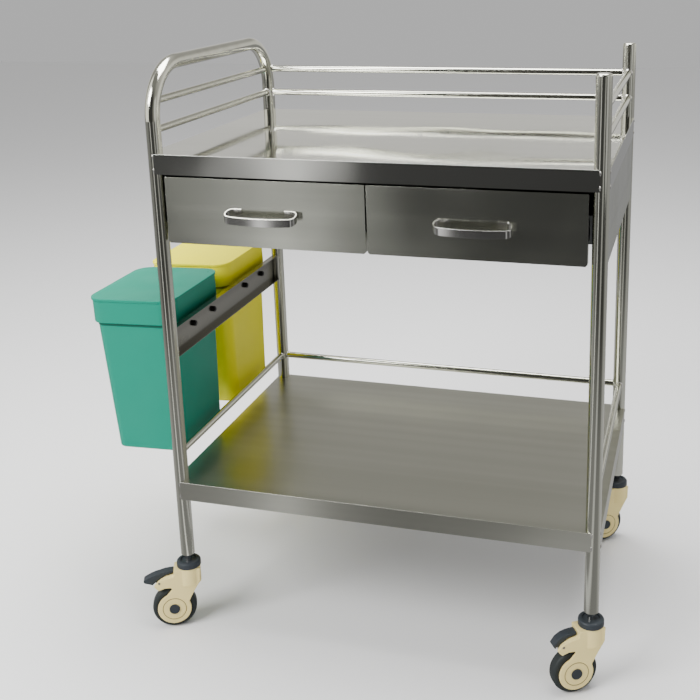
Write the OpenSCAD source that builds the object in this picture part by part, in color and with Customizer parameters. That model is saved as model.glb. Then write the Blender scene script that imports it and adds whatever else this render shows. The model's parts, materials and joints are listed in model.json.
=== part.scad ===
// Two-tier stainless steel ward trolley with two drawers, two hung waste bins
// and four swivel castors. Millimetres, +X to the right, front faces -Y, +Z up.

/* [Frame] */
// Distance between the left and right post centres
post_span_x = 739; // [560:1:900]
// Distance between the front and rear post centres
post_span_y = 486; // [440:1:600]
// Outer diameter of the post tube
post_d = 25; // [22:0.5:32]
// Wall of the post tube
post_wall = 1.2; // [0.8:0.1:2]
// Height of the posts' open lower ends above the floor
post_foot_z = 144.5; // [142:0.5:170]
// Rise of the push bar's axis above the top tray
handle_rise = 144; // [130:1:180]
// Centre-line radius of the push bar's bends
handle_bend_r = 90; // [60:1:100]
// Rise of the two right posts above the top tray
right_post_rise = 137; // [110:1:160]
// Height of the welded cap on a right post
cap_h = 4.8; // [3:0.1:8]

/* [Trays] */
// Height of the top tray's upper face above the floor
tray_top_z = 894.5; // [840:0.5:960]
// Height of the lower shelf's upper face above the floor
shelf_top_z = 293.5; // [240:0.5:340]
// Depth of the skirt folded down round both trays
skirt_h = 34; // [25:1:45]
// Sheet thickness of both trays
sheet_t = 1.2; // [0.8:0.1:2]
// Clearance between a cut sheet or rail end and the tube it is welded to
weld_gap = 0.1; // [0.05:0.05:0.3]

/* [Rails] */
// Diameter of the guard and shelf rails
rail_d = 12.7; // [9:0.1:16]
// Rise of the lower guard rail's axis above the top tray
guard_rise = 38; // [30:1:50]
// Distance between the two guard rails
guard_pitch = 48; // [35:1:55]
// Rise of the shelf rail's axis above the lower shelf
shelf_rail_rise = 53; // [30:1:80]

/* [Drawer case] */
// Height of the case, from the top tray's upper face down
case_h = 150; // [145:1:190]
// Sheet thickness of the case panels
panel_t = 1; // [0.8:0.1:1.5]
// Width of the lip folded inwards along a panel's lower edge
panel_lip = 12; // [6:1:18]

/* [Drawers] */
// Depth of the drawer fronts' face behind the tray's skirt
front_setback = 3.5; // [1:0.5:6]
// Gap between a drawer front and the posts
front_side_gap = 5.3; // [3:0.1:8]
// Gap between the two drawer fronts
front_mid_gap = 3; // [2:0.1:6]
// Gap between the tray's skirt and the drawer fronts
front_top_gap = 4.3; // [2:0.1:8]
// Height of a drawer front
front_h = 113.6; // [100:0.2:114]
// Depth of the returns folded back round a drawer front
front_fold = 12; // [8:1:14]
// Sheet thickness of the drawers
drawer_t = 1; // [0.8:0.1:1.5]
// Height of a drawer box
box_h = 90; // [70:1:96]
// Height of a drawer box's floor above the front's lower edge
box_floor_rise = 9; // [4:1:12]
// Clear space between a closed drawer box and the rear panel
box_rear_gap = 30; // [12:1:60]
// How far a drawer pulls out
drawer_travel = 380; // [200:5:380]

/* [Drawer slides] */
// Height of a slide's outer rail
slide_h = 45; // [40:1:50]
// Overall thickness of a slide
slide_w = 12.7; // [12.7:0.1:16]
// Sheet thickness of the slide members
slide_t = 1.2; // [1:0.1:1.5]
// Running clearance between slide members
slide_gap = 0.5; // [0.3:0.1:0.8]
// Length of the slide members
slide_len = 440; // [380:5:440]
// Clearance between a slide and the sheet it is fixed to
mount_gap = 0.2; // [0.1:0.1:0.5]

/* [Drawer pulls] */
// Distance between a pull's two screws
pull_pitch = 92; // [64:1:128]
// Overall length of a pull
pull_len = 126; // [110:1:170]
// How far a pull stands out from the drawer front
pull_reach = 27; // [20:1:35]
// Height of the pull's strip
pull_h = 11; // [8:0.5:16]
// Thickness of the pull's strip
pull_t = 2.2; // [1.5:0.1:3]
// Height of the pull's middle above the drawer front's lower edge
pull_rise = 60; // [30:1:80]

/* [Bin bar] */
// Height of the bin bar's lower edge above the floor
bar_bottom_z = 525; // [480:0.5:560]
// Height of the bin bar
bar_h = 55; // [40:1:70]
// Depth of the bin bar's channel
bar_depth = 12; // [8:1:20]
// Rise of the bin bolts above the bar's lower edge
bolt_rise = 34; // [20:1:40]
// Distance between the two bolts of one bin
bolt_pitch = 80; // [50:1:100]
// Shank diameter of the bin bolts
bolt_d = 6; // [5:1:8]

/* [Bins] */
// Outer size of a bin lid across the cart
lid_x = 174; // [130:1:200]
// Outer size of a bin lid along the cart's side
lid_y = 204; // [160:1:208]
// Depth of a bin lid
lid_h = 47; // [30:1:55]
// Corner radius of a bin lid
lid_r = 30; // [12:1:35]
// Wall of the bins and lids
bin_wall = 2.5; // [2:0.1:4]
// Height of a bin body
bin_h = 296; // [220:1:300]
// How much a bin body narrows on each side towards its floor
bin_taper = 10.5; // [6:0.5:20]
// How far the edge of a lid's top stands out past its skirt
lid_lip = 2.0; // [1:0.1:3]
// Clearance between a lid's skirt and the bin body's rim
lid_fit = 1.5; // [1:0.1:4]
// Gap between a lid and the posts
bin_post_gap = 4; // [3:0.5:15]
// Distance between the centres of the two bins
bin_pitch = 228; // [212:1:240]
// How far the middle between the bins lies behind the cart's middle
bin_shift = 12; // [-10:1:12]
// How far the bolts lie in front of a bin's middle
bolt_shift = 5; // [0:1:10]
// Height of a bin's lid top above the floor
bin_top_z = 617.5; // [560:0.5:640]
// How far a bin lid is lifted to come off
lid_lift = 60; // [50:1:100]

/* [Castors] */
// Diameter of a castor wheel
wheel_d = 80; // [60:1:82]
// Width of a castor wheel's tread
wheel_w = 22; // [18:1:30]
// Distance from the swivel axis to the wheel's axle
castor_trail = 31; // [22:1:36]
// Clearance between a wheel's top and the fork's hub
hub_clear = 5.5; // [5:0.5:12]
// Half the width of the slot in a fork's arm that a pedal moves in
arm_in = 7.5; // [5:0.1:9]
// Thickness of a fork cheek
cheek_t = 4.0; // [3:0.1:6]
// Gap between a wheel and a fork cheek
cheek_gap = 0.9; // [0.6:0.1:2]
// Radius of the round cover at a cheek's end
cover_r = 30.5; // [24:0.5:33]
// Diameter of the castor's stem
stem_d = 12; // [10:0.5:14]
// Radius of the swivel collar
collar_r = 22; // [18:0.5:26]
// Diameter of the wheel axle
axle_d = 8; // [6:0.5:10]
// Radial running clearance on stems, axles and pedal pins
run_gap = 0.05; // [0.02:0.01:0.09]
// Swivel angle of the left front castor from pointing left
left_swivel = 25; // [0:1:60]
// Swivel angle of the right front castor from pointing left
right_swivel = 31; // [0:1:60]
// Swivel angle of the rear castors from pointing left
rear_swivel = 35; // [0:1:60]

/* [Hidden] */
$fn = 48;
eps = 0.5;

steel = "#a9aaa0";
cream = "#d9cfae";
dark_grey = "#454a4f";
green = "#45a892";
yellow = "#e2dd70";

// Frame
post_r = post_d / 2;
post_bore_r = post_r - post_wall;
rail_r = rail_d / 2;
left_x = 0;
right_x = post_span_x;
front_y = 0;
rear_y = post_span_y;
mid_x = post_span_x / 2;
mid_y = post_span_y / 2;
handle_z = tray_top_z + handle_rise;
right_post_z = tray_top_z + right_post_rise;
bend_z = handle_z - handle_bend_r;
cope_r = post_r + weld_gap;
guard_zs = [tray_top_z + guard_rise, tray_top_z + guard_rise + guard_pitch];
shelf_rail_z = shelf_top_z + shelf_rail_rise;

// Drawer case
tray_under_z = tray_top_z - sheet_t;
skirt_bottom_z = tray_top_z - skirt_h;
case_bottom_z = tray_top_z - case_h;
panel_top_z = tray_under_z - weld_gap;
panel_out = post_r - sheet_t - weld_gap;
panel_in = panel_out - panel_t;
divider_front_y = post_r;

// Drawers
face_y = -post_r + front_setback;
front_x0 = post_r + front_side_gap;
front_w = (post_span_x - 2 * front_x0 - front_mid_gap) / 2;
front_top_z = skirt_bottom_z - front_top_gap;
front_bottom_z = front_top_z - front_h;
box_z = front_bottom_z + box_floor_rise;
box_y0 = face_y + drawer_t + weld_gap;
box_y1 = rear_y + panel_in - box_rear_gap;
slide_z = box_z + box_h / 2;
bay_x0 = post_r + 1;
bay_x1 = mid_x - panel_t / 2;
box_x0 = bay_x0 + slide_w + 2 * mount_gap;
box_x1 = bay_x1 - slide_w - 2 * mount_gap;
box_w = box_x1 - box_x0;
slide_y0 = box_y0 + 16;
pull_z = front_bottom_z + pull_rise;

// Bins
lid_right_x = -post_r - bin_post_gap;
lid_mid_x = lid_right_x - lid_x / 2;
rim_inset = lid_lip + bin_wall + lid_fit;
body_x = lid_x - 2 * rim_inset;
body_y = lid_y - 2 * rim_inset;
body_r = lid_r - rim_inset;
bin_top_face = bin_top_z - bin_wall - 0.3;
bin_bottom_z = bin_top_face - bin_h;
bolt_z = bar_bottom_z + bolt_rise;
bar_web_x = -bar_depth / 2;
bin_flank = lid_right_x - rim_inset;
bin_tilt = atan(bin_taper / bin_h);
bin_mid_y = mid_y + bin_shift;
bin_ys = [bin_mid_y - bin_pitch / 2, bin_mid_y + bin_pitch / 2];

// Castors
wheel_r = wheel_d / 2;
axle_z = wheel_r;
cheek_in = wheel_w / 2 + cheek_gap;
cheek_out = cheek_in + cheek_t;
hub_bottom_z = wheel_d + hub_clear;
hub_top_z = hub_bottom_z + 35;
collar_h = 11;
pin_u = castor_trail + 24;
pin_z = hub_bottom_z + 10;
pin_d = 4;

fork_back = collar_r - 2;
pedal_nose = 29;
tread_v = arm_in + 0.5;

// How far a castor's fork or pedal reaches from its post, for a swivel angle
function fork_side_reach(a) = fork_back * cos(a) + cheek_out * sin(a);
function fork_rear_reach(a) = fork_back * sin(a) + cheek_out * cos(a);
function fork_front_reach(a) = (castor_trail + cover_r) * sin(a) + cheek_out * cos(a);
function pedal_front_reach(a) = (pin_u + pedal_nose) * sin(a) + tread_v * cos(a);

// Place of the whole cart: its bounding box stands centred on the origin
left_reach = (lid_x - rim_inset) * cos(bin_tilt)
  + (bin_top_z - bin_top_face) * sin(bin_tilt) - bin_flank;
right_reach = right_x + max(collar_r, fork_side_reach(right_swivel), fork_side_reach(rear_swivel));
front_reach = max(
  pull_reach + weld_gap - face_y, pedal_front_reach(left_swivel), fork_front_reach(right_swivel));
rear_reach = rear_y + max(collar_r, fork_rear_reach(rear_swivel));
shift_x = -(right_reach - left_reach) / 2;
shift_y = -(rear_reach - front_reach) / 2;

module place() {
  translate([shift_x, shift_y, 0]) children();
}

// A closed box given by its two opposite corners
module block(low, high) {
  translate(low) cube(high - low);
}

module tube(r_out, r_in, length) {
  difference() {
    cylinder(r = r_out, h = length);
    translate([0, 0, -eps]) cylinder(r = r_in, h = length + 2 * eps);
  }
}

module rod_y(r, y0, y1) {
  translate([0, y0, 0]) rotate([-90, 0, 0]) cylinder(r = r, h = y1 - y0);
}

module rod_x(r, x0, x1) {
  translate([x0, 0, 0]) rotate([0, 90, 0]) cylinder(r = r, h = x1 - x0);
}

// Everything a sheet or rail end has to leave free round the four posts
module post_keepouts(z0, z1) {
  for (x = [left_x, right_x], y = [front_y, rear_y])
    translate([x, y, z0]) cylinder(r = cope_r, h = z1 - z0);
}

/* Frame tubes */

// A quarter bend of tube from +Z, turning towards +Y
module bend(r) {
  translate([0, handle_bend_r, 0]) rotate([90, 0, -90])
    rotate_extrude(angle = 90) translate([handle_bend_r, 0]) circle(r = r);
}

module bent_bar(r, leg_drop) {
  for (side = [0, 1])
    translate([0, mid_y, 0]) mirror([0, side, 0]) translate([0, -mid_y, 0]) {
      translate([0, 0, post_foot_z - leg_drop])
        cylinder(r = r, h = bend_z - post_foot_z + leg_drop);
      translate([0, 0, bend_z]) bend(r);
    }
  translate([0, 0, handle_z]) rod_y(r, handle_bend_r, post_span_y - handle_bend_r);
}

module handle_frame() {
  color(steel) place() difference() {
    bent_bar(post_r, 0);
    bent_bar(post_bore_r, eps);
  }
}

module right_post(y) {
  color(steel) place() translate([right_x, y, post_foot_z])
    tube(post_r, post_bore_r, right_post_z - post_foot_z);
}

module right_front_post() { right_post(front_y); }

module right_rear_post() { right_post(rear_y); }

module post_caps() {
  edge = cap_h * 0.8;
  color(steel) place() for (y = [front_y, rear_y]) translate([right_x, y, right_post_z]) {
    rotate_extrude() {
      square([post_r - edge, cap_h]);
      square([post_r, cap_h - edge]);
      translate([post_r - edge, cap_h - edge]) intersection() {
        circle(r = edge);
        square(edge);
      }
    }
    translate([0, 0, -5]) cylinder(r = post_bore_r - weld_gap, h = 5);
  }
}

/* Rails */

module side_rail(x, z) {
  translate([x, 0, z]) rod_y(rail_r, front_y, rear_y);
}

module back_rail(z) {
  translate([0, rear_y, z]) rod_x(rail_r, left_x, right_x);
}

// The handle tube's outer shape, which the left rails are coped to
module handle_keepout() {
  bent_bar(cope_r, 0);
}

module left_guard_rails() {
  color(steel) place() difference() {
    for (z = guard_zs) side_rail(left_x, z);
    handle_keepout();
  }
}

module rear_guard_rails() {
  color(steel) place() difference() {
    for (z = guard_zs) back_rail(z);
    handle_keepout();
    post_keepouts(tray_top_z, right_post_z);
  }
}

module right_guard_rails() {
  color(steel) place() difference() {
    for (z = guard_zs) side_rail(right_x, z);
    post_keepouts(tray_top_z, right_post_z);
  }
}

module shelf_rails() {
  color(steel) place() difference() {
    union() {
      for (x = [left_x, right_x]) side_rail(x, shelf_rail_z);
      back_rail(shelf_rail_z);
    }
    post_keepouts(shelf_top_z, shelf_rail_z + rail_d);
  }
}

/* Trays */

// A sheet tray whose skirts lie on the posts' outer tangents and end at the posts
module pan(top_z) {
  low_z = top_z - skirt_h;
  stiffener_w = 60;
  stiffener_h = 15;
  difference() {
    block([-post_r, -post_r, low_z], [right_x + post_r, rear_y + post_r, top_z]);
    block([-post_r + sheet_t, -post_r + sheet_t, low_z - eps],
          [right_x + post_r - sheet_t, rear_y + post_r - sheet_t, top_z - sheet_t]);
    post_keepouts(low_z - eps, top_z + eps);
    for (x = [left_x - post_r - eps, right_x], y = [front_y - post_r - eps, rear_y])
      block([x, y, low_z - eps], [x + post_r + eps, y + post_r + eps, top_z + eps]);
  }
  for (x = [post_span_x / 4, post_span_x * 3 / 4])
    difference() {
      block([x - stiffener_w / 2, post_r * 2, top_z - sheet_t - stiffener_h],
            [x + stiffener_w / 2, rear_y - post_r * 2, top_z - sheet_t]);
      block([x - stiffener_w / 2 + sheet_t, post_r, top_z - 2 * stiffener_h],
            [x + stiffener_w / 2 - sheet_t, rear_y - post_r, top_z - sheet_t - eps]);
    }
}

module top_tray() { color(steel) place() pan(tray_top_z); }

module lower_shelf() { color(steel) place() pan(shelf_top_z); }

/* Drawer case */

// A side panel with its lower lip, for the left side of the cart
module side_panel() {
  difference() {
    union() {
      block([-panel_out, front_y, case_bottom_z], [-panel_in, rear_y, panel_top_z]);
      block([-panel_out, front_y, case_bottom_z],
            [-panel_out + panel_lip, rear_y, case_bottom_z + panel_t]);
    }
    post_keepouts(case_bottom_z - eps, tray_top_z);
  }
}

module mirror_across() {
  translate([post_span_x, 0, 0]) mirror([1, 0, 0]) children();
}

module left_case_panel() { color(steel) place() side_panel(); }

module right_case_panel() { color(steel) place() mirror_across() side_panel(); }

module rear_case_panel() {
  y0 = rear_y + panel_in;
  color(steel) place() difference() {
    union() {
      block([left_x, y0, case_bottom_z], [right_x, y0 + panel_t, panel_top_z]);
      block([left_x, y0 + panel_t - panel_lip, case_bottom_z],
            [right_x, y0 + panel_t, case_bottom_z + panel_t]);
    }
    post_keepouts(case_bottom_z - eps, tray_top_z);
  }
}

module case_divider() {
  y1 = rear_y + panel_in - weld_gap;
  top_flange = 14;
  color(steel) place() {
    block([mid_x - panel_t / 2, divider_front_y, case_bottom_z + panel_t + weld_gap],
          [mid_x + panel_t / 2, y1, panel_top_z]);
    block([mid_x - panel_t / 2, divider_front_y, panel_top_z - panel_t],
          [mid_x + top_flange, y1, panel_top_z]);
  }
}

// Channels that bring the outer slides past the posts
module slide_mounts() {
  flange = 4;
  z0 = slide_z - slide_h / 2 - flange;
  z1 = slide_z + slide_h / 2 + flange;
  y0 = post_r + 2;
  y1 = rear_y - post_r - 2;
  module left_mount() {
    difference() {
      block([-panel_in + weld_gap, y0, z0], [bay_x0, y1, z1]);
      block([-panel_in - eps, y0 - eps, z0 + panel_t],
            [bay_x0 - panel_t, y1 + eps, z1 - panel_t]);
    }
  }
  color(steel) place() {
    left_mount();
    mirror_across() left_mount();
  }
}

/* Drawer slides, drawn as sections in X and Z with the fixed side at x = 0 */

slide_lip = 2.2;
outer_edge = slide_w - slide_t - slide_gap;
middle_edge = outer_edge - slide_t - slide_gap;
middle_h = slide_h - 2 * slide_t - 2 * slide_gap;
inner_x = 2 * slide_t + 2 * slide_gap;
inner_h = middle_h - 2 * slide_t - 2 * slide_lip - 2 * slide_gap;

// A channel from x0 to x1, open towards x1, with lips turned inwards
module channel_section(x0, x1, h) {
  for (side = [0, 1]) mirror([0, side]) {
    translate([x0, h / 2 - slide_t]) square([x1 - x0, slide_t]);
    translate([x1 - slide_t, h / 2 - slide_t - slide_lip]) square([slide_t, slide_lip + slide_t]);
  }
  translate([x0, -h / 2]) square([slide_t, h]);
}

module inner_section() {
  for (side = [0, 1]) mirror([0, side]) {
    translate([inner_x, inner_h / 2 - slide_t]) square([slide_w - inner_x, slide_t]);
    translate([inner_x, inner_h / 2 - slide_t]) square([slide_t, slide_lip + slide_t]);
  }
  translate([slide_w - slide_t, -inner_h / 2]) square([slide_t, inner_h]);
}

module run_y(y0, y1) {
  translate([0, y1, 0]) rotate([90, 0, 0]) linear_extrude(y1 - y0) children();
}

// Both slides of the left drawer
module slide_pair() {
  translate([bay_x0 + mount_gap, 0, slide_z]) run_y(slide_y0, slide_y0 + slide_len) children();
  translate([bay_x1 - mount_gap, 0, slide_z]) mirror([1, 0, 0])
    run_y(slide_y0, slide_y0 + slide_len) children();
}

module slide_outer_rails() {
  color("#8f9192") place() {
    slide_pair() channel_section(0, outer_edge, slide_h);
    mirror_across() slide_pair() channel_section(0, outer_edge, slide_h);
  }
}

module slide_middles() {
  slide_pair() channel_section(slide_t + slide_gap, middle_edge, middle_h);
}

module slide_inners() { slide_pair() inner_section(); }

module left_slide_middles() { color("#8f9192") place() slide_middles(); }

module right_slide_middles() { color("#8f9192") place() mirror_across() slide_middles(); }

module left_slide_inners() { color("#8f9192") place() slide_inners(); }

module right_slide_inners() { color("#8f9192") place() mirror_across() slide_inners(); }

/* Drawers */

screw_d = 4;
pull_mid_x = front_x0 + front_w / 2;

module at_pull_screws() {
  for (side = [-1, 1]) translate([pull_mid_x + side * pull_pitch / 2, 0, pull_z]) children();
}

module drawer_box() {
  difference() {
    block([box_x0, box_y0, box_z], [box_x1, box_y1, box_z + box_h]);
    block([box_x0 + drawer_t, box_y0 + drawer_t, box_z + drawer_t],
          [box_x1 - drawer_t, box_y1 - drawer_t, box_z + box_h + eps]);
    at_pull_screws() rod_y(screw_d / 2 + mount_gap, face_y - eps, box_y0 + 2 * drawer_t);
  }
}

// Outline of the front with its two lower corners cut off
module front_outline(inset, cut) {
  x0 = front_x0 + inset;
  x1 = front_x0 + front_w - inset;
  z0 = front_bottom_z + inset;
  z1 = front_top_z - inset;
  polygon([[x0 + cut, z0], [x1 - cut, z0], [x1, z0 + cut], [x1, z1], [x0, z1], [x0, z0 + cut]]);
}

module drawer_front() {
  corner_cut = 3;
  inner_cut = corner_cut - drawer_t * (2 - sqrt(2));
  difference() {
    run_y(face_y, face_y + front_fold) front_outline(0, corner_cut);
    run_y(face_y + drawer_t, face_y + front_fold + eps) front_outline(drawer_t, inner_cut);
    at_pull_screws() rod_y(screw_d / 2 + mount_gap, face_y - eps, face_y + 2 * drawer_t);
  }
}

// Points of an arc from angle a0 to a1 round a centre
function arc(centre, r, a0, a1, steps) =
  [for (i = [0 : steps]) let (a = a0 + (a1 - a0) * i / steps) centre + r * [cos(a), sin(a)]];

// Middle line of the right half of a pull's strip: x along it, y away from the drawer
pull_bow = 3;
pull_end_r = (pull_reach - pull_bow - pull_t) / 2;
pull_end_x = pull_len / 2 - pull_t / 2 - pull_end_r;
bow_r = (pull_end_x * pull_end_x + pull_bow * pull_bow) / (2 * pull_bow);
bow_a = asin(pull_end_x / bow_r);
tab_end_x = pull_pitch / 2 - 8;
pull_half = concat(
  [[tab_end_x, pull_t / 2]],
  arc([pull_end_x, pull_t / 2 + pull_end_r], pull_end_r, -90, 90, 12),
  arc([0, pull_reach - pull_t / 2 - bow_r], bow_r, 90 - bow_a * 11 / 12, 90, 11));
pull_path = concat(
  pull_half, [for (i = [len(pull_half) - 2 : -1 : 0]) [-pull_half[i][0], pull_half[i][1]]]);

function unit(v) = v / norm(v);
function side_step(path, i) =
  let (a = path[max(i - 1, 0)], b = path[min(i + 1, len(path) - 1)], d = unit(b - a)) [-d[1], d[0]];

// A strip of even thickness along a path
module strip(path, t) {
  polygon(concat(
    [for (i = [0 : len(path) - 1]) path[i] + side_step(path, i) * t / 2],
    [for (i = [len(path) - 1 : -1 : 0]) path[i] - side_step(path, i) * t / 2]));
}

module drawer_pull() {
  difference() {
    translate([pull_mid_x, face_y - weld_gap, pull_z - pull_h / 2]) mirror([0, 1, 0])
      linear_extrude(pull_h) strip(pull_path, pull_t);
    at_pull_screws()
      rod_y(screw_d / 2 + mount_gap, face_y - 2 * pull_t, face_y + eps);
  }
}

module pull_screws() {
  head_r = screw_d * 0.9;
  head_h = 2;
  nut_h = 3;
  seat_y = face_y - weld_gap - pull_t;
  inside_y = box_y0 + drawer_t;
  at_pull_screws() {
    rod_y(screw_d / 2, seat_y, inside_y + nut_h + 1);
    rod_y(head_r, seat_y - head_h, seat_y);
    translate([0, inside_y, 0]) rotate([-90, 0, 0]) difference() {
      cylinder(r = screw_d, h = nut_h, $fn = 6);
      translate([0, 0, -eps]) cylinder(r = screw_d / 2 + run_gap, h = nut_h + 2 * eps);
    }
  }
}

module left_drawer_box() { color(steel) place() drawer_box(); }

module right_drawer_box() { color(steel) place() mirror_across() drawer_box(); }

module left_drawer_front() { color(steel) place() drawer_front(); }

module right_drawer_front() { color(steel) place() mirror_across() drawer_front(); }

module left_drawer_pull() { color("silver") place() drawer_pull(); }

module right_drawer_pull() { color("silver") place() mirror_across() drawer_pull(); }

module left_pull_screws() { color("silver") place() pull_screws(); }

module right_pull_screws() { color("silver") place() mirror_across() pull_screws(); }

/* Bin bar and bins */

module at_bolts() {
  for (y = bin_ys, side = [-1, 1])
    translate([0, y - bolt_shift + side * bolt_pitch / 2, bolt_z]) children();
}

module bin_bar() {
  color(steel) place() difference() {
    block([bar_web_x, front_y, bar_bottom_z], [bar_web_x + bar_depth, rear_y, bar_bottom_z + bar_h]);
    block([bar_web_x + sheet_t, front_y - eps, bar_bottom_z + sheet_t],
          [bar_web_x + bar_depth + eps, rear_y + eps, bar_bottom_z + bar_h - sheet_t]);
    handle_keepout();
    at_bolts() rod_x(bolt_d / 2 + mount_gap, bar_web_x - eps, bar_web_x + 2 * sheet_t);
  }
}

// One bolt from inside a bin through its wall, a spacer, the bar and a nut
module bin_bolt() {
  nut_h = 5;
  head_h = 3;
  head_x = bin_flank - bin_wall - weld_gap;
  nut_x = bar_web_x + sheet_t + weld_gap;
  rod_x(bolt_d / 2, head_x, nut_x + nut_h + 1.5);
  rod_x(bolt_d, head_x - head_h, head_x);
  translate([nut_x, 0, 0]) rotate([0, 90, 0]) difference() {
    cylinder(r = bolt_d * 0.95, h = nut_h, $fn = 6);
    translate([0, 0, -eps]) cylinder(r = bolt_d / 2 + run_gap, h = nut_h + 2 * eps);
  }
  difference() {
    rod_x(bolt_d, bin_flank + weld_gap, bar_web_x - weld_gap);
    rod_x(bolt_d / 2 + run_gap, bin_flank, bar_web_x + eps);
  }
}

module bin_bolts() { color(dark_grey) place() at_bolts() bin_bolt(); }

// A flat plate with round corners
module round_plate(size_x, size_y, r, h) {
  linear_extrude(h) {
    square([size_x - 2 * r, size_y], center = true);
    square([size_x, size_y - 2 * r], center = true);
    for (x = [-1, 1], y = [-1, 1])
      translate([x * (size_x / 2 - r), y * (size_y / 2 - r)]) circle(r = r);
  }
}

// A tapered tub between two heights, inset all round by a wall
module tub(inset, z0, z1) {
  lean = bin_taper / bin_h;
  low = inset + lean * (bin_top_face - z0);
  high = inset + lean * (bin_top_face - z1);
  skin = 0.01;
  hull() {
    translate([0, 0, z1 - skin])
      round_plate(body_x - 2 * high, body_y - 2 * high, max(body_r - high, 2), skin, $fn = 32);
    translate([0, 0, z0])
      round_plate(body_x - 2 * low, body_y - 2 * low, max(body_r - low, 2), skin, $fn = 32);
  }
}

// Leans a bin and its lid about the rim, so that the wall by the bar stands upright
module hang() {
  translate([bin_flank, 0, bin_top_face]) rotate([0, -bin_tilt, 0])
    translate([-bin_flank, 0, -bin_top_face]) children();
}

module bin(y) {
  difference() {
    hang() translate([lid_mid_x, y, 0]) difference() {
      tub(0, bin_bottom_z, bin_top_face);
      tub(bin_wall, bin_bottom_z + bin_wall, bin_top_face + eps);
    }
    at_bolts() rod_x(bolt_d / 2 + mount_gap, bin_flank - 3 * bin_wall, bin_flank + 2 * bin_wall);
  }
}

module lid(y) {
  lip_h = 5;
  inner = lid_lip + bin_wall;
  hang() translate([lid_mid_x, y, bin_top_z]) difference() {
    union() {
      translate([0, 0, -lip_h]) round_plate(lid_x, lid_y, lid_r, lip_h);
      translate([0, 0, -lid_h])
        round_plate(lid_x - 2 * lid_lip, lid_y - 2 * lid_lip, lid_r - lid_lip, lid_h - lip_h + eps);
    }
    translate([0, 0, -lid_h - eps])
      round_plate(lid_x - 2 * inner, lid_y - 2 * inner, lid_r - inner, lid_h - bin_wall + eps);
  }
}

module green_bin() { color(green) place() bin(bin_ys[0]); }

module green_lid() { color(green) place() lid(bin_ys[0]); }

module yellow_bin() { color(yellow) place() bin(bin_ys[1]); }

module yellow_lid() { color(yellow) place() lid(bin_ys[1]); }

/* Castors: drawn with the swivel axis at the origin and the wheel towards +X */

module at_castor(x, y, swivel) {
  place() translate([x, y, 0]) rotate([0, 0, 180 + swivel]) children();
}

// The solid between two planes across the wheel, from a section in X and Z
module across(v0, v1) {
  translate([0, v1, 0]) rotate([90, 0, 0]) linear_extrude(v1 - v0) children();
}

module castor_stems() {
  head_h = 2.5;
  cone_h = 10;
  plug_h = 30;
  color("silver") place() for (x = [left_x, right_x], y = [front_y, rear_y]) translate([x, y, 0]) {
    translate([0, 0, hub_bottom_z - mount_gap - head_h]) cylinder(r = stem_d / 2 + 2, h = head_h);
    translate([0, 0, hub_bottom_z - mount_gap - eps])
      cylinder(r = stem_d / 2, h = post_foot_z - hub_bottom_z);
    translate([0, 0, post_foot_z - cone_h])
      cylinder(r1 = stem_d / 2 + 0.5, r2 = post_bore_r - weld_gap, h = cone_h);
    translate([0, 0, post_foot_z]) cylinder(r = post_bore_r - weld_gap, h = plug_h);
  }
}

// Lower edge and nose of the arm that carries a pedal
arm_under = [
  [castor_trail + 3, pin_z - 12.5], [pin_u - 10, pin_z - 11.8], [pin_u + 2, pin_z - 15.5],
  [pin_u + 7, pin_z - 10.3]
];

// Section of a cheek's neck and arm; a braked castor's arm reaches out for the pedal
module cheek_section(braked) {
  back = -fork_back;
  nose = 28;
  top = hub_top_z - 2;
  neck = [
    [back, top], [back + 1, hub_bottom_z + 7], [back + 12, hub_bottom_z - 11],
    [castor_trail - cover_r * cos(25), axle_z + cover_r * sin(25)], [castor_trail, axle_z],
    [castor_trail + cover_r * cos(65), axle_z + cover_r * sin(65)], [castor_trail + 2, hub_bottom_z - 5.5]
  ];
  shoulder = [
    [pin_u + 10, pin_z - 6], [pin_u + 6.5, pin_z - 0.5], [pin_u, pin_z + 4.3],
    [pin_u - 13, pin_z + 8.5], [nose, pin_z + 11], [nose, top]
  ];
  plain = [[nose, hub_bottom_z + 2], [nose, top]];
  polygon(concat(neck, braked ? concat(arm_under, shoulder) : plain));
  translate([castor_trail, axle_z]) circle(r = cover_r);
}

// Section of the arm's inner rib, which reaches up to the pedal
module rib_section() {
  polygon(concat(arm_under, [
    [pin_u + 8.9, pin_z - 8.1], [pin_u + 3, pin_z + 1.5], [pin_u - 5, pin_z + 6.8],
    [pin_u - 14, pin_z + 10.8], [pin_u - 27.5, pin_z + 13.6]
  ]));
}

module fork(braked) {
  groove_r = cover_r - 9.5;
  groove = 1.2;
  difference() {
    union() {
      for (side = [0, 1]) mirror([0, side, 0]) {
        across(cheek_in, cheek_out) cheek_section(braked);
        if (braked) across(arm_in, cheek_in + eps) rib_section();
      }
      translate([0, 0, hub_bottom_z]) cylinder(r = collar_r - 1.5, h = hub_top_z - hub_bottom_z);
      block([0, -cheek_out, hub_bottom_z], [28, cheek_out, hub_top_z - 2]);
    }
    translate([0, 0, hub_bottom_z - eps])
      cylinder(r = stem_d / 2 + run_gap, h = hub_top_z - hub_bottom_z + 2 * eps);
    translate([castor_trail, 0, axle_z]) {
      rod_y(axle_d / 2 + run_gap, -2 * cheek_out, 2 * cheek_out);
      for (side = [0, 1]) mirror([0, side, 0]) difference() {
        rod_y(groove_r + groove / 2, cheek_out - groove / 2, cheek_out + eps);
        rod_y(groove_r - groove / 2, cheek_out - groove, cheek_out + 2 * eps);
      }
    }
    if (braked) translate([pin_u, 0, pin_z]) rod_y(pin_d / 2 + run_gap, -2 * cheek_out, 2 * cheek_out);
  }
}

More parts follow.
